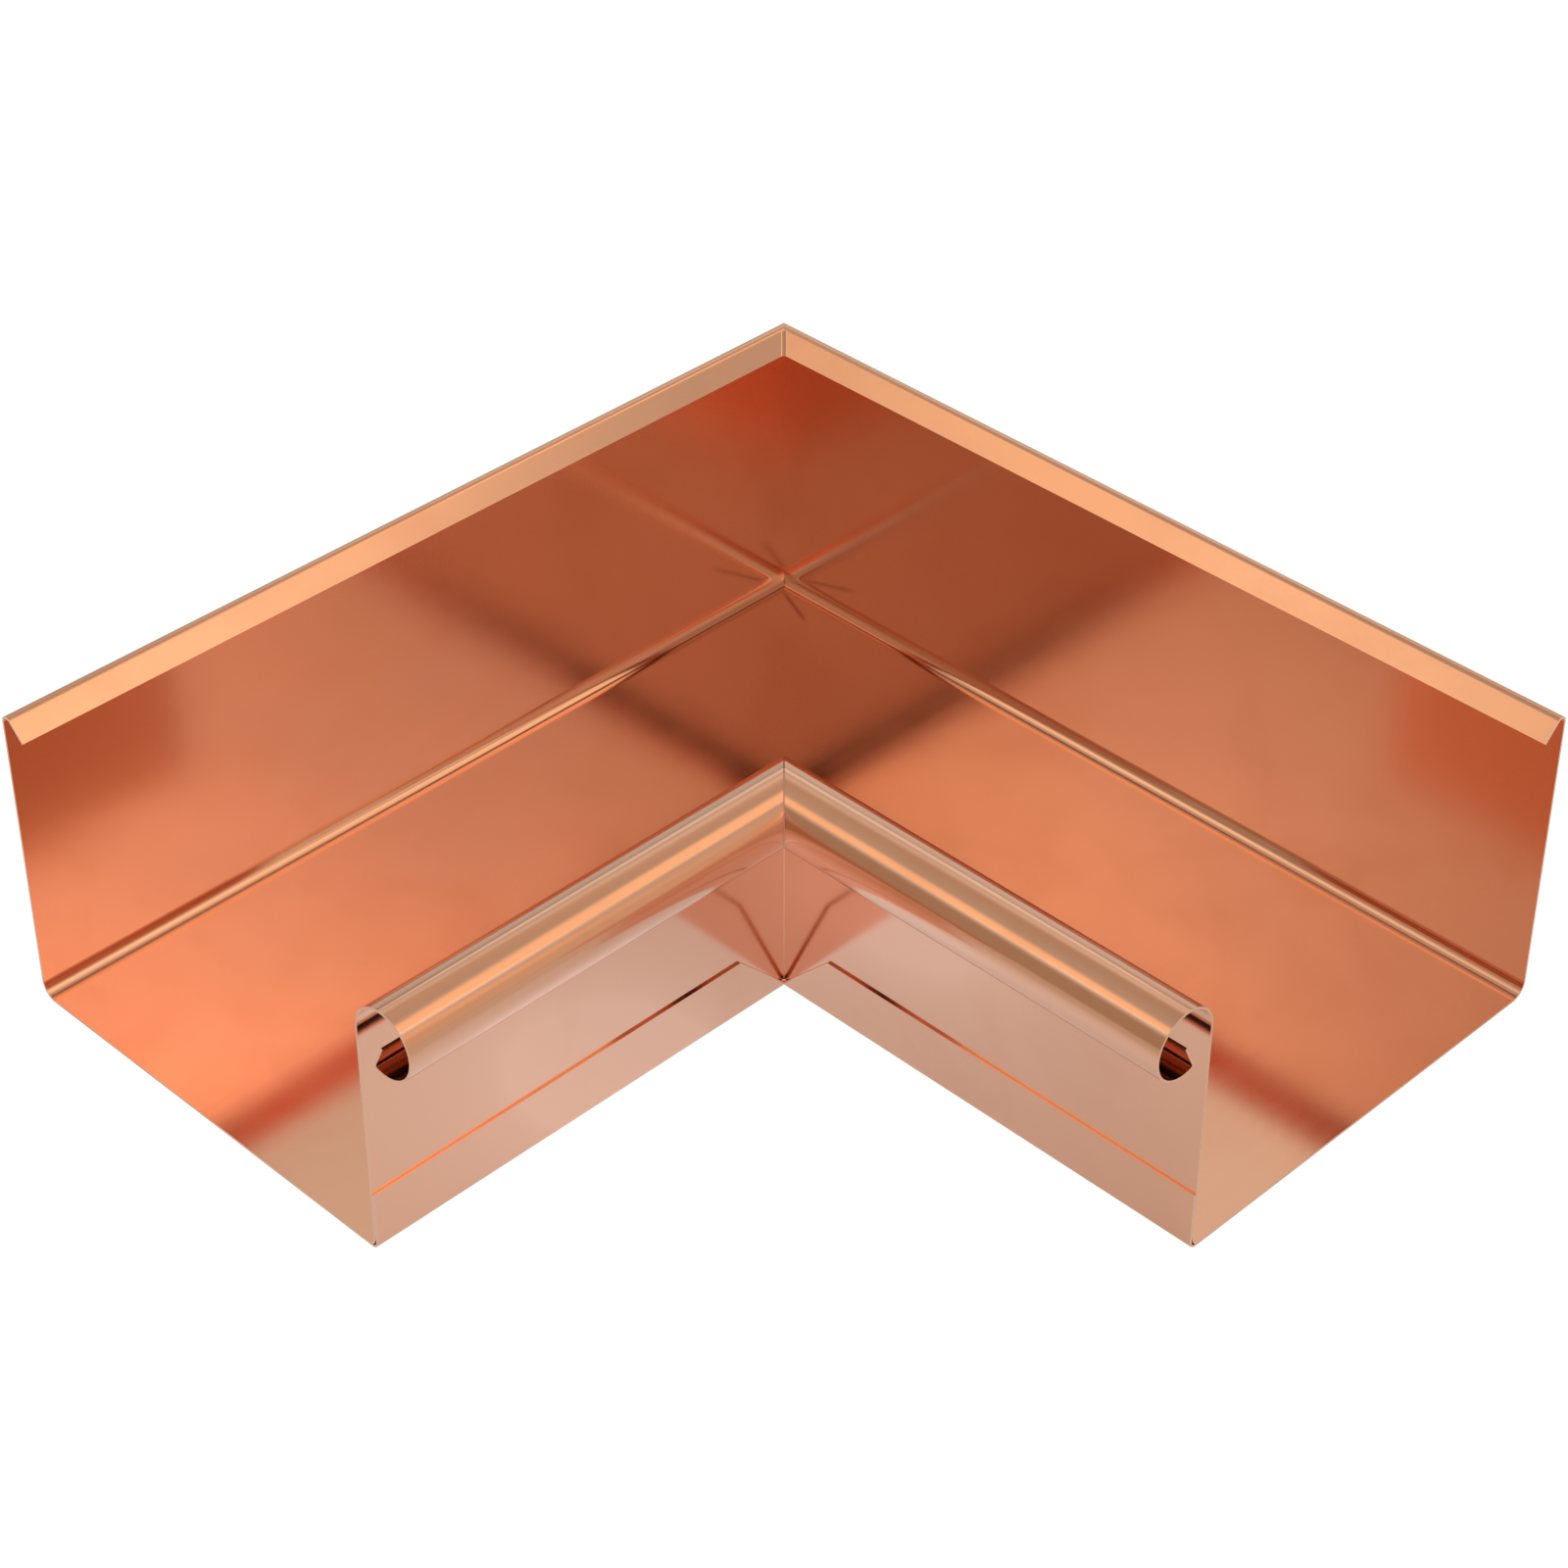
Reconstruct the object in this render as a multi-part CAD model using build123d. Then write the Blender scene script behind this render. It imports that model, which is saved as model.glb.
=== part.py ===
from build123d import *
from math import cos, radians, sin, tan
import os

# Internal corner of a copper box gutter, where the eaves turn inward through a right angle.
# It is two folded sheets: an L-shaped tray, and a beaded front strip that stands in the tray's lap.
# Frame: +Z up, with the arms along +X and +Y. The origin is on the underside of the floor, where the
# centrelines of the two arms cross. Each section is drawn across the +X arm, in Y and Z.

# Overall sizes, in millimetres
sheet = 0.7  # thickness of the copper sheet
gutter_width = 150.0  # outer face of the rear wall to outer face of the front wall
arm_length = 305.0  # outer face of one rear wall to the end of the other arm
rear_height = 101.0  # underside to the top of the rear fold
front_height = 90.0  # underside to the top of the bead

# Folds of the tray, each radius on the outer face
rear_bend = 5.2  # rear wall to floor
front_bend = 2.5  # floor to flange
lip_bend = 2.3  # rear wall to lip
lip_turn = 135.0  # degrees from the rear wall over to the lip
lip_length = 7.2  # straight part of the lip
lip_valley = 1.3  # seen from above, the rounded valley where the two lips meet
rear_corner_bend = sheet  # vertical corner between the two rear walls, folded sharp

# Lap between the flange and the front strip
lap_height = 20.0  # underside to the top of the flange
flange_end_angle = 45.0  # degrees from the floor, where the flange ends at the inner corner
solder_film = 0.05  # between the tray and the strip

# Folds of the front strip
foot_bend = 5.2  # outer face of the wall to the foot, which curls in
foot_turn = 45.0  # degrees from the wall to the foot's edge
foot_slit_level = 2.8  # underside to the edge of the strip at its vertical fold, where the foot is slit
bead_diameter = 22.0  # over the sheet
bead_turn = 288.0  # degrees that the bead curls round from the wall
bead_edge_bend = 1.3  # outer face of the tight fold that ends the bead
bead_edge_turn = 97.0  # degrees of that fold
bead_edge_length = 7.8  # straight return inside the bead
front_corner_bend = 0.2  # outer face of the vertical fold between the two front walls
mitre_gap = 0.2  # between the ends of the two beads

# Places that follow from the sizes
rear_face = -gutter_width / 2
front_face = gutter_width / 2
front_inside = front_face - sheet
flange_face = front_face + solder_film + sheet
arm_end = rear_face + arm_length
bead_radius = bead_diameter / 2
bead_level = front_height - bead_radius
foot_level = sheet + solder_film + foot_bend * sin(radians(foot_turn))
mitre = Plane(origin=(0, 0, 0), x_dir=(1, 1, 0), z_dir=(1, -1, 0))


def sheet_face(place, heading, folds, depth):
    """One face of a folded sheet, at a depth under the outer one. Each fold is a straight run, then a turn
    to the right with a radius on the outer face."""
    edges = []
    for run, radius, turn in folds:
        if run:
            edges.append(Line(place, place + heading * run))
            place = edges[-1] @ 1
        if turn:
            edges.append(JernArc(place, heading, radius - depth, -turn))
            place, heading = edges[-1] @ 1, edges[-1] % 1
    return edges


def folded_sheet(place, heading, folds):
    """Section of a folded sheet, between its outer face and the inner face on its right."""
    to_inner_face = Vector(heading.Y, -heading.X) * sheet
    outer = sheet_face(place, heading, folds, 0)
    inner = sheet_face(place + to_inner_face, heading, folds, sheet)
    cut_ends = [Line(outer[0] @ 0, inner[0] @ 0), Line(outer[-1] @ 1, inner[-1] @ 1)]
    return make_face(outer + inner + cut_ends)


def tray_section():
    """Flange, floor, rear wall and lip of the tray, with the folds between them."""
    flange_run = lap_height - front_bend
    floor_run = flange_face - rear_face - front_bend - rear_bend
    wall_run = rear_height - rear_bend - lip_bend
    folds = [
        (flange_run, front_bend, 90),
        (floor_run, rear_bend, 90),
        (wall_run, lip_bend, lip_turn),
        (lip_length, 0, 0),
    ]
    return folded_sheet(Vector(flange_face, lap_height), Vector(0, -1), folds)


def front_wall_section():
    """Flat wall of the front strip from the bead down, with the foot that curls in to stand on the floor."""
    return folded_sheet(
        Vector(front_face, bead_level), Vector(0, -1), [(bead_level - foot_level, foot_bend, foot_turn)]
    )


def vertical_fold_section():
    """Flat wall where the strip turns the corner, from the slit in the foot up to the bead."""
    fold_height = bead_level - foot_slit_level
    return Pos(front_inside, foot_slit_level) * Rectangle(sheet, fold_height, align=(Align.MIN, Align.MIN))


def bead_section():
    """Bead that curls over and out from the top of the wall, and its edge folded back inside."""
    folds = [
        (0, bead_radius, bead_turn),
        (0, bead_edge_bend, bead_edge_turn),
        (bead_edge_length, 0, 0),
    ]
    return folded_sheet(Vector(front_inside, bead_level), Vector(0, 1), folds)


def along_arm(section, start):
    """Run a section from a place on the X axis to the end of the +X arm."""
    return extrude(Plane.YZ.offset(start) * section, amount=arm_end - start)


def round_corner(section, centre):
    """Turn a section through the corner, about the vertical axis that crosses the mitre at a centre."""
    return revolve(Plane.YZ.offset(centre) * section, Axis((centre, centre, 0), (0, 0, -1)), 90)


def both_arms(arm):
    """An arm along +X with its mirror image along +Y."""
    return arm + mirror(arm, about=mitre)


def flange_end():
    """Wedge cut from the flange beside the inner corner, because both flanges share the flat sheet there."""
    rise = lap_height - front_bend
    run = rise / tan(radians(flange_end_angle))
    outline = Polyline(
        (front_face, front_bend),
        (flange_face, front_bend),
        (flange_face + run, lap_height),
        (front_face, lap_height),
        close=True,
    )
    return extrude(Plane.XZ.offset(-front_face) * make_face(outline), amount=front_face - flange_face)


def valley_between_lips():
    """Fills the valley where the two lips meet, so that it is rounded along its length."""
    turn = radians(lip_turn)
    place = rear_face + lip_bend * (1 - cos(turn))
    level = rear_height - lip_bend * (1 - sin(turn))
    corner = Rectangle(lip_valley, lip_valley, align=(Align.MIN, Align.MIN))
    rounding = Pos(lip_valley, lip_valley) * Circle(lip_valley)
    way = Vector(sin(turn), sin(turn), cos(turn))
    section = Pos(place, place, level) * (corner - rounding)
    return extrude(section, amount=lip_length * way.length, dir=way.normalized())


def gutter_tray():
    """Floor, rear walls, lips and front flanges, folded from one L-shaped sheet."""
    section = tray_section()
    corner_centre = rear_face + rear_corner_bend
    arm = split(along_arm(section, corner_centre), mitre, Keep.TOP) - flange_end()
    beside_rear = Rectangle(rear_corner_bend, 2 * rear_height, align=(Align.MIN, Align.CENTER))
    corner = round_corner(section & Pos(rear_face, 0) * beside_rear, corner_centre)
    return both_arms(arm) + corner + valley_between_lips()


def beaded_front():
    """Both front walls with their rolled beads, folded from one strip and mitred at the bead."""
    corner_centre = front_face + front_corner_bend
    wall = along_arm(front_wall_section(), corner_centre)
    bead = split(along_arm(bead_section(), front_inside), mitre.offset(mitre_gap / 2), Keep.TOP)
    return both_arms(wall + bead) + round_corner(vertical_fold_section(), corner_centre)


os.makedirs("parts", exist_ok=True)
export_step(gutter_tray(), "parts/gutter_tray.step")
export_step(beaded_front(), "parts/beaded_front.step")
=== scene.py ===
"""Copper internal corner for a box gutter, in a pale studio.

The gutter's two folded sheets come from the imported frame. This file gives them their copper finish and
builds the studio around them: a pale floor, a warm room of soft lights, a top light and the camera.
"""

import math

import bpy
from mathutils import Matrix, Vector


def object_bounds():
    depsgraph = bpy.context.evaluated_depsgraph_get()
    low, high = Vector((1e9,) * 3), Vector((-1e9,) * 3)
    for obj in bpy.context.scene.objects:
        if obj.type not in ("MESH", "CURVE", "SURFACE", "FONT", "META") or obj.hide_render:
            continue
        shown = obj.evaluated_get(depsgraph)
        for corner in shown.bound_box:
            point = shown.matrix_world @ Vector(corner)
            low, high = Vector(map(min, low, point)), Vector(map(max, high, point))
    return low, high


bl_info = {
    "name": "Copper Box Gutter Corner",
    "version": (1, 0, 0),
    "blender": (4, 5, 0),
    "location": "View3D > Sidebar > Gutter",
    "description": "Finishes a copper box gutter corner and lights it in a pale studio",
    "category": "Object",
}

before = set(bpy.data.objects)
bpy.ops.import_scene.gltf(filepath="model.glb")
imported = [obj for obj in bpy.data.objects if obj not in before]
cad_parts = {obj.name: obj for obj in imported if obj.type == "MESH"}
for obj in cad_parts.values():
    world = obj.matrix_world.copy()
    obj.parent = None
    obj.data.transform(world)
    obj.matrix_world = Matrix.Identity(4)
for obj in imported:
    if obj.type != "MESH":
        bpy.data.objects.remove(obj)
cad_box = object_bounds()

# Sockets of a Mix node that mixes colours
COLOUR_A, COLOUR_B, MIXED_COLOUR = 6, 7, 2


# Helpers


def linear(hex_colour):
    """Linear red, green, blue and alpha of an sRGB hex colour."""
    channels = [int(hex_colour[i : i + 2], 16) / 255 for i in (1, 3, 5)]
    return (*[c / 12.92 if c <= 0.04045 else ((c + 0.055) / 1.055) ** 2.4 for c in channels], 1.0)


def colour_setting(name, description, hex_colour):
    """Colour that a user can change, kept as linear values."""
    return bpy.props.FloatVectorProperty(
        name=name, description=description, subtype="COLOR", size=4, min=0, max=1, default=linear(hex_colour)
    )


def new_tree(owner):
    """Empty node tree of a material or a world."""
    owner.use_nodes = True
    owner.node_tree.nodes.clear()
    return owner.node_tree


def add_node(tree, kind, settings=None, links=None):
    """Add a node to a tree. Settings are its properties, or input values where the key is a socket's name
    or number; links join other nodes, or single outputs of theirs, to its inputs."""
    node = tree.nodes.new(kind)
    for key, value in (settings or {}).items():
        if isinstance(key, str) and hasattr(node, key):
            setattr(node, key, value)
        else:
            node.inputs[key].default_value = value
    for key, source in (links or {}).items():
        output = source.outputs[0] if isinstance(source, bpy.types.Node) else source
        tree.links.new(output, node.inputs[key])
    return node


def soft_region(tree, edges, interpolation="SMOOTHSTEP"):
    """How far a point or a direction is inside a region, from 0 to 1. Each edge of the region is a measure,
    with its value where the region ends and its value where the region is full."""
    share = None
    for measure, end, full in edges:
        span = {"interpolation_type": interpolation, "From Min": end, "From Max": full}
        inside = add_node(tree, "ShaderNodeMapRange", span, {"Value": measure})
        if share is None:
            share = inside
        else:
            share = add_node(tree, "ShaderNodeMath", {"operation": "MULTIPLY"}, {0: share, 1: inside})
    return share


def toward(azimuth, elevation):
    """Unit vector from the gutter, with azimuth 0 towards the camera and 90 towards the picture's right."""
    a, e = math.radians(azimuth), math.radians(elevation)
    to_camera, to_right = Vector((1, 1, 0)).normalized(), Vector((-1, 1, 0)).normalized()
    return (to_camera * math.cos(a) + to_right * math.sin(a)) * math.cos(e) + Vector((0, 0, math.sin(e)))


# Settings


class GutterCopperSettings(bpy.types.PropertyGroup):
    """Colours and surface of the copper sheet."""

    copper: colour_setting("Copper", "Colour of clean copper sheet, linear", "#F6C5AF")
    tarnish: colour_setting("Tarnish", "Colour where handling has begun to dull the sheet, linear", "#EEBAA2")
    # Painted shade: this dark colour is laid along a crease on the tray's floor, where it stands in for the
    # crease's shading, and along the bead's mitre, where it is solder browning and painted shade in the open
    # joint.
    solder_and_shade: colour_setting("Solder and shade", "Colour of what soldering has browned, linear", "#93371F")
    # Painted highlight: this paler colour on the cut ends of the arms stands in for the light that catches
    # them.
    cut_end_highlight: colour_setting("Sheared", "Colour of the freshly cut ends of the sheets, linear", "#FFDCCC")
    roughness: bpy.props.FloatProperty(
        name="Roughness",
        description="Roughness of bright rolled sheet",
        subtype="FACTOR",
        min=0,
        max=1,
        default=0.13,
    )
    roll_line: bpy.props.FloatProperty(
        name="Roll line spacing",
        description="Distance between the lines left by the mill's rolls, wider than life so that they show",
        subtype="DISTANCE",
        unit="LENGTH",
        min=0.0001,
        max=0.01,
        default=0.0009,
    )
    smear: bpy.props.FloatProperty(
        name="Smear size",
        description="Width of the smears that handling leaves",
        subtype="DISTANCE",
        unit="LENGTH",
        min=0.005,
        max=0.5,
        default=0.0455,
    )
    buckle: bpy.props.FloatProperty(
        name="Buckle size",
        description="Width of the faint waves that stay in a folded sheet",
        subtype="DISTANCE",
        unit="LENGTH",
        min=0.01,
        max=0.5,
        default=0.09,
    )


class GutterStudioSettings(bpy.types.PropertyGroup):
    """Floor and camera."""

    floor: colour_setting("Floor", "Colour of the floor, linear", "#E8E8E6")
    lens: bpy.props.FloatProperty(
        name="Lens",
        description="Focal length of the camera",
        subtype="DISTANCE_CAMERA",
        min=10,
        max=300,
        default=86.35,
    )
    camera_reach: bpy.props.FloatProperty(
        name="Camera reach",
        description="Distance of the camera from the gutter's corner, along each arm's direction",
        subtype="DISTANCE",
        unit="LENGTH",
        default=0.6704,
    )
    camera_height: bpy.props.FloatProperty(
        name="Camera height",
        description="Height of the camera above the floor",
        subtype="DISTANCE",
        unit="LENGTH",
        default=0.7098,
    )
    camera_pitch: bpy.props.FloatProperty(
        name="Camera pitch",
        description="How far the camera looks down",
        subtype="ANGLE",
        unit="ROTATION",
        default=math.radians(37.05),
    )


# Copper


def sheet_patterns(tree, place, settings):
    """Noise of the roll lines, the smears and the buckles, each at its size on the sheet. Real roll lines are
    too fine to show here, so these are drawn coarser."""
    roll_line_length = 0.167
    repeats = 1 / roll_line_length, 1 / settings.roll_line, 1 / settings.roll_line
    drawn_out = add_node(tree, "ShaderNodeMapping", {"Scale": repeats}, {"Vector": place})
    lines_look = {"Scale": 1, "Detail": 2, "Roughness": 0.6}
    smears_look = {"Scale": 1 / settings.smear, "Detail": 4, "Roughness": 0.55, "Distortion": 0.6}
    buckles_look = {"Scale": 1 / settings.buckle, "Detail": 1}
    return [
        add_node(tree, "ShaderNodeTexNoise", look, {"Vector": source})
        for look, source in ((lines_look, drawn_out), (smears_look, place), (buckles_look, place))
    ]


def line_on_sheet(tree, place, start, way, length, width, top):
    """How far a point is in a thin line on the sheet, from 0 to 1. The line runs level from its start and
    fades at its sides and ends. Its width is measured level across it, and nothing above its top is in it."""
    fade_below_top = 0.001
    along, up = Vector(way).normalized(), Vector((0, 0, 1))
    from_start = add_node(tree, "ShaderNodeVectorMath", {"operation": "SUBTRACT", 1: start}, {0: place})
    edges = []
    for direction, middle, reach, fade in (
        (along, length / 2, length / 2, length / 4),
        (along.cross(up), 0, width / 2, width / 2),
        (up, 0, top - start[2], fade_below_top),
    ):
        dot = {"operation": "DOT_PRODUCT", 1: direction}
        measure = add_node(tree, "ShaderNodeVectorMath", dot, {0: from_start}).outputs["Value"]
        from_middle = add_node(tree, "ShaderNodeMath", {"operation": "SUBTRACT", 1: middle}, {0: measure})
        distance = add_node(tree, "ShaderNodeMath", {"operation": "ABSOLUTE"}, {0: from_middle})
        edges.append((distance, reach, reach - fade))
    return soft_region(tree, edges)


def sheared_ends(tree, place):
    """1 on the cut ends of the arms, and 0 on the rest of the sheet."""
    arm_end = cad_box[1][0]
    skin, fade = 0.0001, 0.00005
    arms = add_node(tree, "ShaderNodeSeparateXYZ", links={0: place})
    furthest = add_node(
        tree, "ShaderNodeMath", {"operation": "MAXIMUM"}, {0: arms.outputs["X"], 1: arms.outputs["Y"]}
    )
    return soft_region(tree, [(furthest, arm_end - skin, arm_end - skin + fade)], "LINEAR")


def sheet_colour(tree, settings, smears, darkened_line, cut):
    """Clean copper, a little tarnished in its smears, darkened along one thin line by painted shade, with
    solder browning at the mitre, and paler at its cut ends, a painted highlight.
    """
    first_smear, full_smear, most_tarnish = 0.52, 0.78, 0.6
    dulled = add_node(
        tree,
        "ShaderNodeMapRange",
        {"From Min": first_smear, "From Max": full_smear, "To Min": 0, "To Max": most_tarnish},
        {"Value": smears},
    )
    colour = add_node(
        tree,
        "ShaderNodeMix",
        {"data_type": "RGBA", COLOUR_A: settings.copper, COLOUR_B: settings.tarnish},
        {"Factor": dulled},
    )
    for share, over in ((darkened_line, settings.solder_and_shade), (cut, settings.cut_end_highlight)):
        colour = add_node(
            tree,
            "ShaderNodeMix",
            {"data_type": "RGBA", COLOUR_B: over},
            {"Factor": share, COLOUR_A: colour.outputs[MIXED_COLOUR]},
        )
    return colour.outputs[MIXED_COLOUR]


def sheet_roughness(tree, settings, roll_lines, smears, cut):
    """Bright sheet is rougher in its smears and uneven across its roll lines, and its cut ends are rough."""
    smoother_when_clean, rougher_when_smeared, line_change, cut_roughness = 0.015, 0.03, 0.01, 0.4
    noise_low, smears_high, lines_high = 0.3, 0.75, 0.7
    smeared = add_node(
        tree,
        "ShaderNodeMapRange",
        {
            "From Min": noise_low,
            "From Max": smears_high,
            "To Min": settings.roughness - smoother_when_clean,
            "To Max": settings.roughness + rougher_when_smeared,
        },
        {"Value": smears},
    )
    lined = add_node(
        tree,
        "ShaderNodeMapRange",
        {"From Min": noise_low, "From Max": lines_high, "To Min": -line_change, "To Max": line_change},
        {"Value": roll_lines},
    )
    rolled = add_node(tree, "ShaderNodeMath", {"operation": "ADD"}, {0: smeared, 1: lined})
    return add_node(tree, "ShaderNodeMix", {"B": cut_roughness}, {"Factor": cut, "A": rolled})


def sheet_relief(tree, roll_lines, buckles):
    """Faint waves over the sheet, with the roll lines scored into them."""
    waves_look = {"Strength": 0.25, "Distance": 0.0012}
    scores_look = {"Strength": 0.05, "Distance": 0.00002}
    waves = add_node(tree, "ShaderNodeBump", waves_look, {"Height": buckles})
    return add_node(tree, "ShaderNodeBump", scores_look, {"Height": roll_lines, "Normal": waves})


def rolled_copper(name, settings, line, line_darkening):
    """Bright rolled copper sheet, as it comes from the mill. Its rolls leave fine lines along the sheet,
    folding leaves faint waves in it, and handling dulls it a little, so its reflections are soft and not
    quite even. One thin line on it is darkened with painted shade, which at the bead's mitre is also solder
    browning, and the cut ends of the arms are rougher and painted paler as a highlight."""
    material = bpy.data.materials.new(name)
    tree = new_tree(material)
    place = add_node(tree, "ShaderNodeTexCoord").outputs["Object"]
    roll_lines, smears, buckles = sheet_patterns(tree, place, settings)
    cut = sheared_ends(tree, place)
    on_line = line_on_sheet(tree, place, **line)
    # The thin line is darkened with painted shade, which along the bead's mitre is also solder browning.
    darkened_line = add_node(tree, "ShaderNodeMath", {"operation": "MULTIPLY", 1: line_darkening}, {0: on_line})
    metal = add_node(
        tree,
        "ShaderNodeBsdfPrincipled",
        {"Metallic": 1.0},
        {
            "Base Color": sheet_colour(tree, settings, smears, darkened_line, cut),
            "Roughness": sheet_roughness(tree, settings, roll_lines, smears, cut),
            "Normal": sheet_relief(tree, roll_lines, buckles),
        },
    )
    add_node(tree, "ShaderNodeOutputMaterial", links={"Surface": metal})
    return material


def give_finish(node_name, material):
    """Put a material on every slot of a CAD node."""
    mesh_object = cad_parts[node_name]
    if not mesh_object.material_slots:
        mesh_object.data.materials.append(material)
    for slot in mesh_object.material_slots:
        slot.material = material


class GUTTER_OT_finish_tray(bpy.types.Operator):
    """Give the tray its rolled copper finish, with painted shade of a crease on the floor by the rear corner
    """

    bl_idname = "gutter.finish_tray"
    bl_label = "Finish the Tray"

    def execute(self, context):
        from_rear_x, from_rear_y, floor_top = 0.005, 0.0038, 0.0007
        start = cad_box[0][0] + from_rear_x, cad_box[0][1] + from_rear_y, floor_top
        # Painted shade: the floor is flat here, and this dark line by the rear corner stands in for the
        # shading of a crease.
        crease = {"start": start, "way": (0.41, 1, 0), "length": 0.022, "width": 0.0028, "top": 0.004}
        copper = rolled_copper("rolled copper, tray", context.scene.gutter_copper, crease, line_darkening=0.5)
        give_finish("gutter_tray", copper)
        return {"FINISHED"}


class GUTTER_OT_finish_front(bpy.types.Operator):
    """Give the beaded front strip its rolled copper finish, with a mitre in the bead browned by solder and
    darkened with painted shade in its open joint
    """

    bl_idname = "gutter.finish_front"
    bl_label = "Finish the Front"

    def execute(self, context):
        below_bead = 0.0755, 0.0755, 0.05
        # The mitre's dark line is solder browning and painted shade in the joint's open gap.
        mitre = {"start": below_bead, "way": (1, 1, 0), "length": 0.036, "width": 0.0008, "top": 0.1}
        copper = rolled_copper("rolled copper, front", context.scene.gutter_copper, mitre, line_darkening=0.9)
        give_finish("beaded_front", copper)
        return {"FINISHED"}


# Floor


def floor_in_metal(tree):
    """Painted light on the floor, which only the metal sees: white in the notch between the arms and close
    behind the rear walls, and warmer further away, as if only the ground by the gutter were lit."""
    notch = 0.135, 0.085, 0
    white, warm, cool_white = linear("#FDFFFF"), linear("#C4B19B"), linear("#F1F3F8")
    place = add_node(tree, "ShaderNodeTexCoord").outputs["Object"]
    from_notch = add_node(tree, "ShaderNodeVectorMath", {"operation": "DISTANCE", 1: notch}, {0: place})
    far = soft_region(tree, [(from_notch.outputs["Value"], 0.03, 0.30)], "LINEAR")
    warmth = add_node(tree, "ShaderNodeMath", {"operation": "SQRT"}, {0: far})
    in_front = add_node(
        tree, "ShaderNodeMix", {"data_type": "RGBA", COLOUR_A: white, COLOUR_B: warm}, {"Factor": warmth}
    )
    arms = add_node(tree, "ShaderNodeSeparateXYZ", links={0: place})
    rearmost = add_node(
        tree, "ShaderNodeMath", {"operation": "MINIMUM"}, {0: arms.outputs["X"], 1: arms.outputs["Y"]}
    )
    from_middle = add_node(tree, "ShaderNodeVectorMath", {"operation": "LENGTH"}, {0: place})
    edges = (rearmost, -0.06, -0.09), (from_middle.outputs["Value"], 0.48, 0.32)
    behind_walls = soft_region(tree, edges, "LINEAR")
    painted_floor_light = add_node(
        tree,
        "ShaderNodeMix",
        {"data_type": "RGBA", COLOUR_B: cool_white},
        {"Factor": behind_walls, COLOUR_A: in_front.outputs[MIXED_COLOUR]},
    )
    return painted_floor_light.outputs[MIXED_COLOUR]


def studio_floor(settings):
    """Large floor of matt white paper, which spreads light evenly and keeps the gutter's soft shadow. The
    camera sees it near white, and the metal sees it partly as painted light, pale by the gutter and warmer
    further away."""
    breadth, drop = 12, 0.0002
    metal_share, camera_share, camera_white = 0.65, 0.7, 1.4
    bpy.ops.mesh.primitive_plane_add(size=breadth, location=(0, 0, -drop))
    floor = bpy.context.active_object
    floor.name = "studio_floor"
    material = bpy.data.materials.new("matt white paper")
    tree = new_tree(material)
    shader = add_node(tree, "ShaderNodeBsdfDiffuse", {"Color": settings.floor})
    # Painted light: the metal sees the floor glow pale by the gutter and warmer further away.
    in_metal = add_node(tree, "ShaderNodeEmission", {"Strength": 1.0}, {"Color": floor_in_metal(tree)})
    white = add_node(tree, "ShaderNodeEmission", {"Color": linear("#FFFFFF"), "Strength": camera_white})
    rays = add_node(tree, "ShaderNodeLightPath").outputs
    for ray, share, seen in (
        (rays["Is Glossy Ray"], metal_share, in_metal),
        (rays["Is Camera Ray"], camera_share, white),
    ):
        factor = add_node(tree, "ShaderNodeMath", {"operation": "MULTIPLY", 1: share}, {0: ray})
        shader = add_node(tree, "ShaderNodeMixShader", links={0: factor, 1: shader, 2: seen})
    add_node(tree, "ShaderNodeOutputMaterial", links={"Surface": shader})
    floor.data.materials.append(material)


# Lights

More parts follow.
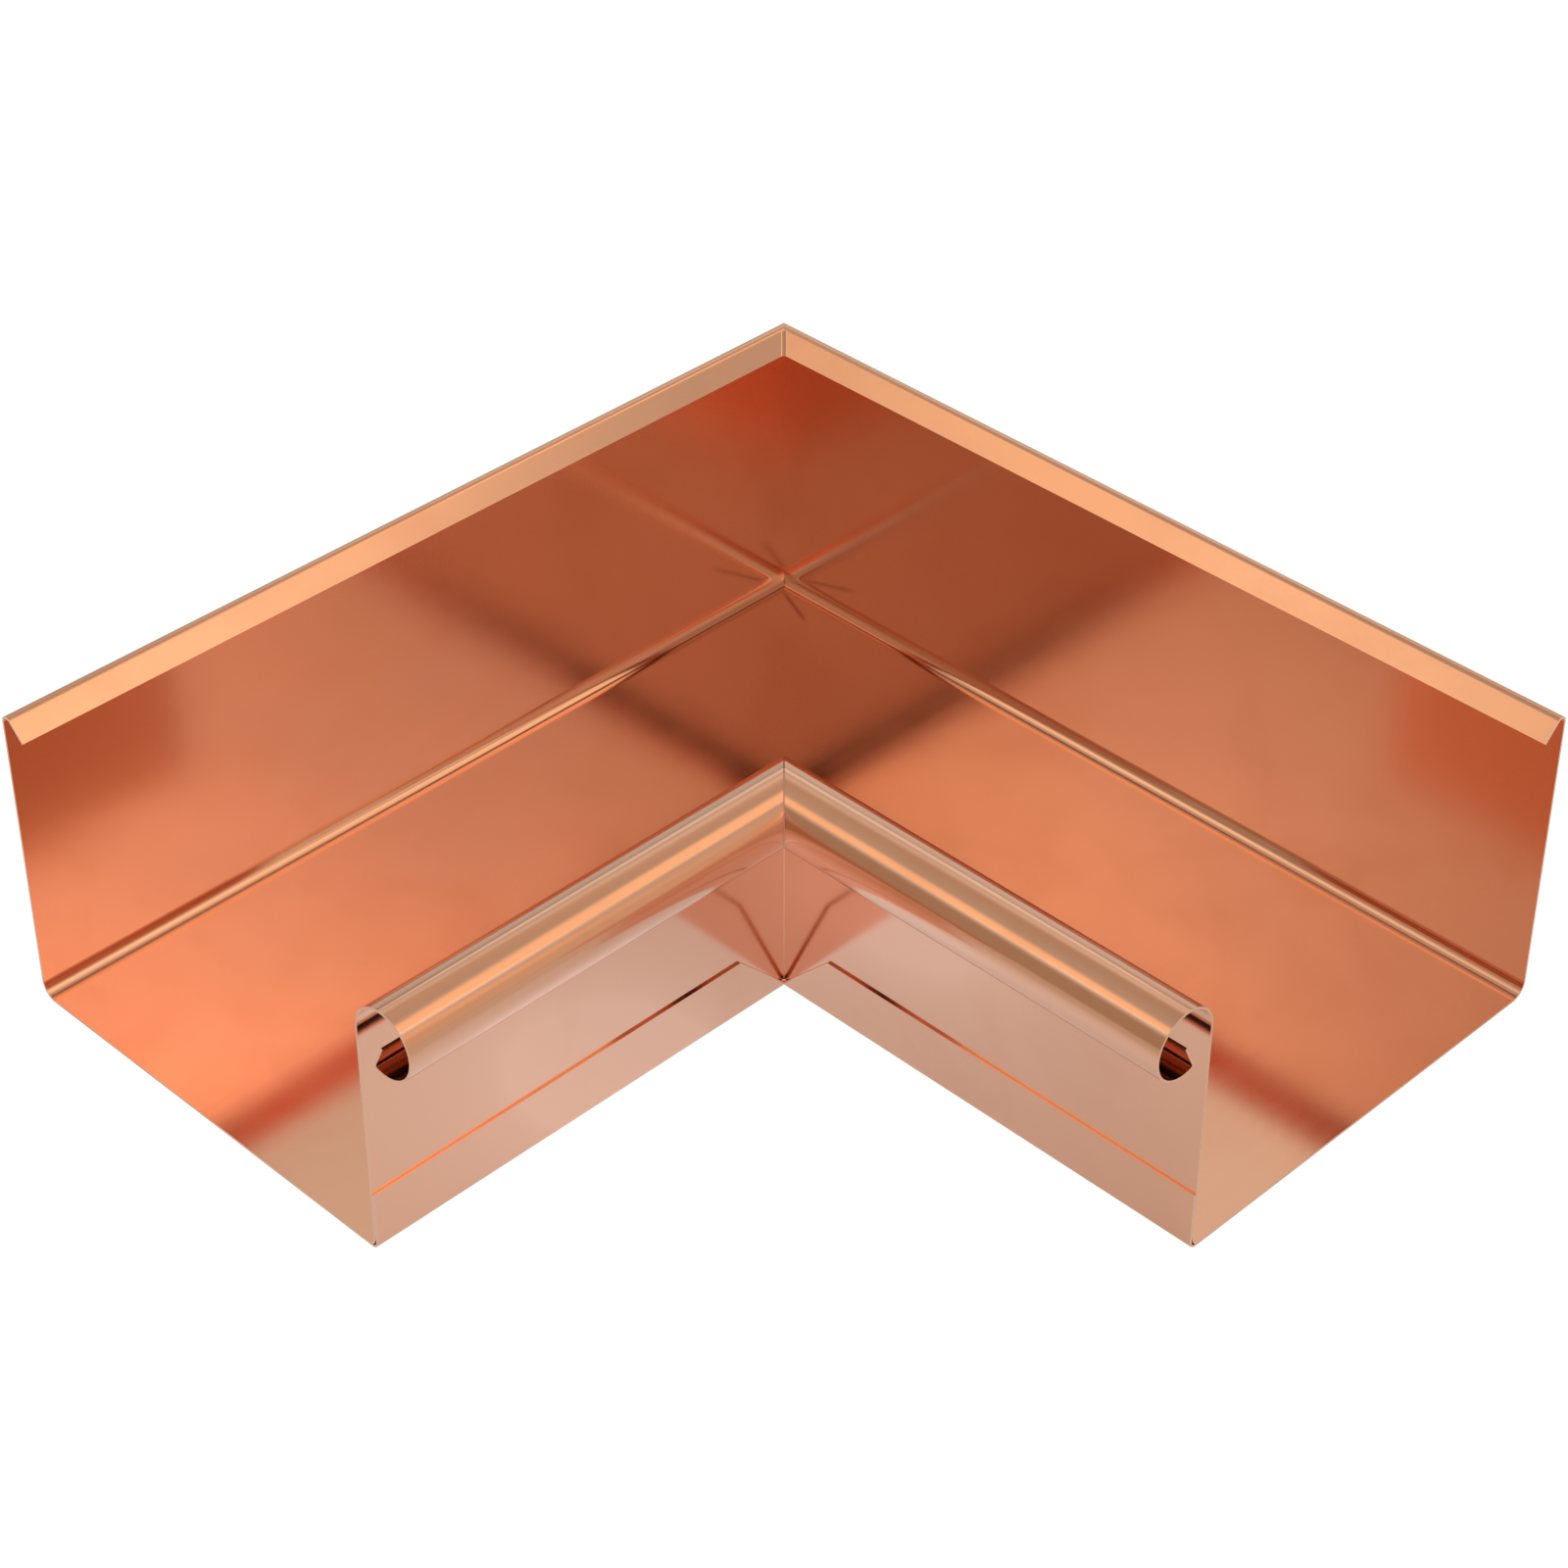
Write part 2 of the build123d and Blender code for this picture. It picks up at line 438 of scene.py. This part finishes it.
# The room's plain light, and the soft lights that are added to it. Each soft light has a name, a colour, a
# strength and its edges. An edge is a measure of the direction that the light comes from, with the value
# where the light ends and the value where it is full. Height is 1 straight up, right is 1 at the picture's
# right, and behind is 1 straight away from the camera.
PLAIN_LIGHT = "#F8DAB5", 0.41
SOFT_LIGHTS = (
    ("cool light above the front", "#00CBF3", 0.08, (("height", 0.46, 0.56), ("behind", 0.60, 0.20))),
    ("warm light on the right", "#FFE5C8", 0.10, (("right", -0.05, 0.15),)),
    ("warm light low on the right", "#FFDAB3", 0.15, (("right", 0.20, 0.90), ("height", 0.62, 0.50))),
    ("warm light high on the left", "#FFE5C8", 0.19, (("right", 0.00, -0.90), ("height", 0.48, 0.56))),
    ("warm light high behind", "#FFE5CE", 0.11, (("behind", 0.10, 0.80), ("height", 0.56, 0.66))),
    (
        "cool light in front",
        "#B4F5FF",
        0.187,
        (("right", -0.09, -0.01), ("behind", -0.60, -0.75), ("height", 0.65, 0.59)),
    ),
    ("cool light low behind", "#BCEBFF", 0.30, (("behind", 0.10, 0.80), ("height", 0.50, 0.30))),
    (
        "pale patch behind",
        "#E7FFFF",
        0.52,
        (
            ("behind", 0.30, 0.60),
            ("right", -0.19, -0.165),
            ("right", 0.19, 0.165),
            ("height", 0.43, 0.50),
            ("height", 0.64, 0.55),
        ),
    ),
    (
        "pale band high behind",
        "#DAF3F3",
        0.27,
        (("behind", 0.40, 0.60), ("height", 0.60, 0.68), ("height", 0.80, 0.71)),
    ),
    (
        "blue tint on the right",
        "#00B3FF",
        0.24,
        (("right", 0.30, 0.60), ("behind", -0.03, -0.10), ("height", 0.55, 0.60), ("height", 0.70, 0.64)),
    ),
    (
        "blue tint on the left",
        "#90DDFF",
        0.32,
        (
            ("right", -0.30, -0.60),
            ("behind", -0.22, -0.10),
            ("behind", -0.02, -0.06),
            ("height", 0.56, 0.61),
            ("height", 0.70, 0.64),
        ),
    ),
    (
        "main light on the right",
        "#EFD3B1",
        0.68,
        (("right", 0.30, 0.50), ("behind", 0.05, -0.18), ("height", 0.57, 0.66), ("height", 0.72, 0.66)),
    ),
    (
        "orange light on the right",
        "#FFB33F",
        0.24,
        (("right", 0.30, 0.50), ("behind", -0.12, -0.18), ("height", 0.30, 0.45), ("height", 0.74, 0.66)),
    ),
    (
        "high light on the right",
        "#FFCB86",
        0.60,
        (("right", 0.20, 0.40), ("behind", 0.35, 0.22), ("height", 0.63, 0.67), ("height", 0.88, 0.82)),
    ),
    (
        "high light on the left",
        "#FFC876",
        0.55,
        (
            ("right", -0.30, -0.50),
            ("behind", -0.18, -0.08),
            ("behind", 0.22, 0.10),
            ("height", 0.54, 0.67),
            ("height", 0.84, 0.76),
        ),
    ),
)


def studio_room():
    """World of plain warm light and soft lights, which the metal mirrors. The camera sees it white."""
    world = bpy.data.worlds.new("studio room")
    bpy.context.scene.world = world
    tree = new_tree(world)
    direction = add_node(tree, "ShaderNodeTexCoord").outputs["Generated"]
    measures = {"height": add_node(tree, "ShaderNodeSeparateXYZ", links={0: direction}).outputs["Z"]}
    for measure, azimuth in (("right", 90), ("behind", 180)):
        dot = {"operation": "DOT_PRODUCT", 1: toward(azimuth, 0)}
        measures[measure] = add_node(tree, "ShaderNodeVectorMath", dot, {0: direction}).outputs["Value"]

    plain_colour, plain_strength = PLAIN_LIGHT
    plain = {"Color": linear(plain_colour), "Strength": plain_strength}
    room = add_node(tree, "ShaderNodeBackground", plain)
    for name, colour, strength, edges in SOFT_LIGHTS:
        inside = soft_region(tree, [(measures[measure], end, full) for measure, end, full in edges])
        power = add_node(tree, "ShaderNodeMath", {"operation": "MULTIPLY", 1: strength}, {0: inside})
        look = {"label": name, "Color": linear(colour)}
        light = add_node(tree, "ShaderNodeBackground", look, {"Strength": power})
        room = add_node(tree, "ShaderNodeAddShader", links={0: room, 1: light})

    white = add_node(tree, "ShaderNodeBackground", {"Color": linear("#FFFFFF"), "Strength": 1})
    to_camera = add_node(tree, "ShaderNodeLightPath").outputs["Is Camera Ray"]
    seen = add_node(tree, "ShaderNodeMixShader", links={0: to_camera, 1: room, 2: white})
    add_node(tree, "ShaderNodeOutputWorld", links={"Surface": seen})


def top_light():
    """Square soft light high on the picture's right. It lights the paper, and the metal doesn't mirror it."""
    side, distance, radiance = 1.2, 1.8, 1.8
    way = toward(azimuth=90, elevation=52)
    light = bpy.data.lights.new("top light", "AREA")
    light.shape = "SQUARE"
    light.size = side
    light.color = linear("#FFFFF9")[:3]
    light.energy = radiance * math.pi * side**2
    panel = bpy.data.objects.new("top light", light)
    panel.location = way * distance
    panel.rotation_mode = "QUATERNION"
    panel.rotation_quaternion = way.to_track_quat("Z", "Y")
    panel.visible_camera = False
    panel.visible_glossy = False
    bpy.context.scene.collection.objects.link(panel)


# Camera


def studio_camera(settings):
    """Camera above the open side of the gutter, which looks down between its arms."""
    camera_data = bpy.data.cameras.new("camera")
    camera_data.lens = settings.lens
    camera_data.sensor_width = 36
    camera_data.clip_start, camera_data.clip_end = 0.01, 50
    camera = bpy.data.objects.new("camera", camera_data)
    camera.location = (settings.camera_reach, settings.camera_reach, settings.camera_height)
    camera.rotation_mode = "QUATERNION"
    camera_side = toward(0, math.degrees(settings.camera_pitch))
    camera.rotation_quaternion = camera_side.to_track_quat("Z", "Y")
    bpy.context.scene.collection.objects.link(camera)
    bpy.context.scene.camera = camera


class GUTTER_OT_build_studio(bpy.types.Operator):
    """Build the floor, the lights and the camera"""

    bl_idname = "gutter.build_studio"
    bl_label = "Build the Studio"

    def execute(self, context):
        studio_floor(context.scene.gutter_studio)
        studio_room()
        top_light()
        studio_camera(context.scene.gutter_studio)
        context.scene.view_settings.view_transform = "Standard"
        return {"FINISHED"}


# Panel and registration


class GUTTER_PT_sidebar(bpy.types.Panel):
    """Sidebar panel with the gutter's steps and settings"""

    bl_label = "Box Gutter Corner"
    bl_space_type = "VIEW_3D"
    bl_region_type = "UI"
    bl_category = "Gutter"

    def draw(self, context):
        for operator in OPERATORS:
            self.layout.operator(operator.bl_idname)
        for group in (context.scene.gutter_copper, context.scene.gutter_studio):
            box = self.layout.box()
            for name in group.__annotations__:
                box.prop(group, name)


OPERATORS = (GUTTER_OT_finish_tray, GUTTER_OT_finish_front, GUTTER_OT_build_studio)
CLASSES = (GutterCopperSettings, GutterStudioSettings, *OPERATORS, GUTTER_PT_sidebar)


def register():
    for cls in CLASSES:
        bpy.utils.register_class(cls)
    bpy.types.Scene.gutter_copper = bpy.props.PointerProperty(type=GutterCopperSettings)
    bpy.types.Scene.gutter_studio = bpy.props.PointerProperty(type=GutterStudioSettings)


def unregister():
    del bpy.types.Scene.gutter_studio
    del bpy.types.Scene.gutter_copper
    for cls in reversed(CLASSES):
        bpy.utils.unregister_class(cls)


def main():
    register()
    bpy.ops.gutter.finish_tray()
    bpy.ops.gutter.finish_front()
    bpy.ops.gutter.build_studio()


if __name__ == "__main__":
    main()
